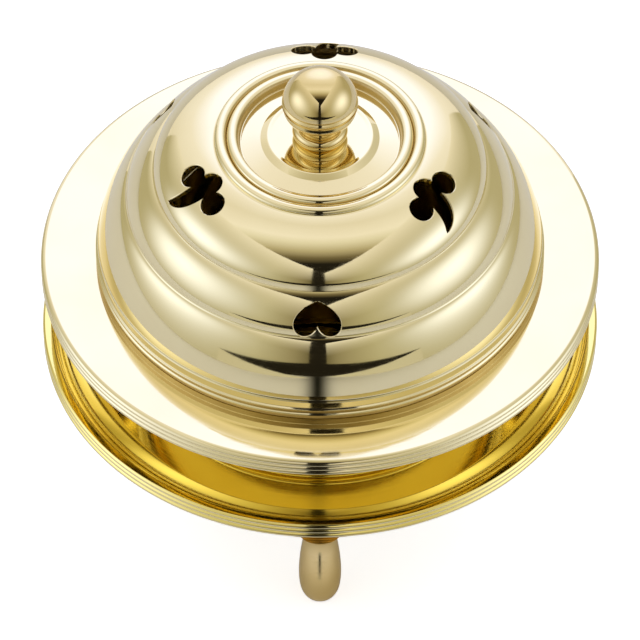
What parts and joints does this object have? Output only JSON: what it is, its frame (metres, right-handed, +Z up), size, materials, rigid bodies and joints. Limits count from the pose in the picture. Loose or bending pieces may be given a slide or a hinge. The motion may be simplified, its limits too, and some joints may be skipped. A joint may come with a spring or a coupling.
{
  "type": "buddhist incense burner",
  "caption": "Polished brass incense burner: a footed fire bowl with a dished brim, a flanged middle ring and a stepped, pierced lid with a ball knob.",
  "frame": {"origin": "on the floor under the burner's axis, level with the flats of the three feet", "axes": "+Z up along the turning axis towards the knob, and the front leg and front heart face -Y"},
  "size_m": [0.1218, 0.1218, 0.1246],
  "materials": {
    "polished_brass": "mirror polished, turned",
    "inner_brass": "plain turned",
    "steel": "plain"
  },
  "bodies": {
    "bowl": {"fire_bowl": "polished_brass", "leg_front": "polished_brass", "leg_right": "polished_brass", "leg_left": "polished_brass", "leg_screw_front": "inner_brass", "leg_screw_right": "inner_brass", "leg_screw_left": "inner_brass"},
    "ring": {"middle_ring": "polished_brass"},
    "lid": {"lid": "polished_brass", "knob": "polished_brass", "knob_washer": "inner_brass", "knob_screw": "steel"}
  },
  "joints": [
    {"name": "ring_lift", "type": "slide", "parent": "bowl", "child": "ring", "axis": [0, 0, 1], "range_m": [0, 0.04]},
    {"name": "lid_lift", "type": "slide", "parent": "ring", "child": "lid", "axis": [0, 0, 1], "range_m": [0, 0.04]}
  ]
}
